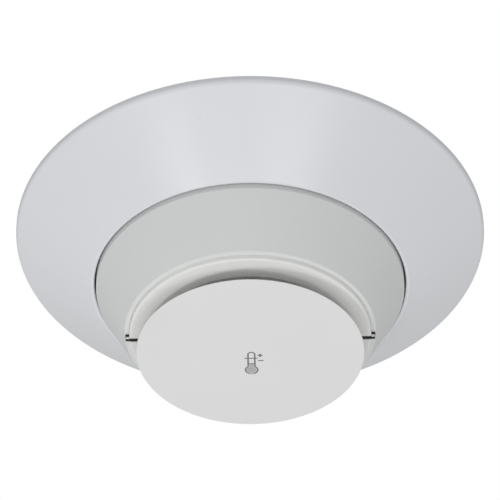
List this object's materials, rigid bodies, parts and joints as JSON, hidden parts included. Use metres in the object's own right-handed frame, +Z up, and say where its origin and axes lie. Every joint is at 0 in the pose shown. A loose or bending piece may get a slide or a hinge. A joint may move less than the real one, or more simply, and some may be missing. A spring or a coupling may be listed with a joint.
{
  "type": "heat detector",
  "caption": "Ceiling heat detector: a flanged white base and a twist-lock head whose sensing beads sit in an air gap behind a flat round cap.",
  "frame": {"origin": "centre of the base on the ceiling plane, on the detector's axis", "axes": "+Z up into the ceiling along the axis, so the detector hangs below; +X and -X pass through the two indicator slots; the pictogram's top faces -Y"},
  "size_m": [0.1542, 0.1542, 0.0494],
  "materials": {
    "base_white": "glossy moulded ABS",
    "plated_screw": "nickel plated",
    "plated_steel": "nickel plated",
    "contact_brass": "spring brass",
    "rear_white": "satin moulded plastic",
    "label_stock": "blank printed label stock",
    "tinned_brass": "tin plated",
    "zinc_screw": "zinc plated",
    "shell_white": "satin, very fine spark texture",
    "cover_white": "satin, very fine spark texture",
    "cap_white": "satin",
    "symbol_grey": "printed grey inlay",
    "clear_pipe": "clear moulded plastic",
    "black_frame": "black moulded plastic",
    "board_green": "solder mask on glass epoxy",
    "chip_black": "moulded package",
    "lamp_clear": "clear lamp in a white package",
    "capacitor_sleeve": "shrink sleeve",
    "chip_resistor": "glazed ceramic",
    "diode_body": "glass package",
    "reed_glass": "green glass tube",
    "tinned_wire": "tinned wire",
    "epoxy_black": "dipped epoxy",
    "switch_black": "moulded switch body",
    "dial_ivory": "moulded dial"
  },
  "bodies": {
    "base": {"mounting_base": "base_white", "terminal_screws": "plated_screw", "terminal_clamps": "plated_steel", "base_contacts": "contact_brass"},
    "head": {"rear_housing": "rear_white", "rear_label": "label_stock", "contact_blades": "tinned_brass", "housing_screws": "zinc_screw", "body_shell": "shell_white", "sensor_cover": "cover_white", "front_cap": "cap_white", "cap_symbol": "symbol_grey", "light_pipes": "clear_pipe", "inner_chassis": "black_frame", "circuit_board": "board_green", "microcontroller": "chip_black", "status_leds": "lamp_clear", "capacitors": "capacitor_sleeve", "resistors": "chip_resistor", "diodes": "diode_body", "reed_switch": "reed_glass", "thermistor_leads": "tinned_wire", "thermistor_beads": "epoxy_black", "switch_bodies": "switch_black"},
    "tens": {"tens_dial": "dial_ivory"},
    "ones": {"ones_dial": "dial_ivory"}
  },
  "joints": [
    {"name": "head_twist", "type": "hinge", "parent": "base", "child": "head", "pos_m": [0, 0, 0], "axis": [0, 0, 1], "range_deg": [-20, 0]},
    {"name": "tens_turn", "type": "hinge", "parent": "head", "child": "tens", "pos_m": [-0.0064, 0, 0], "axis": [0, 0, 1], "continuous": true},
    {"name": "ones_turn", "type": "hinge", "parent": "head", "child": "ones", "pos_m": [0.0064, 0, 0], "axis": [0, 0, 1], "continuous": true}
  ]
}
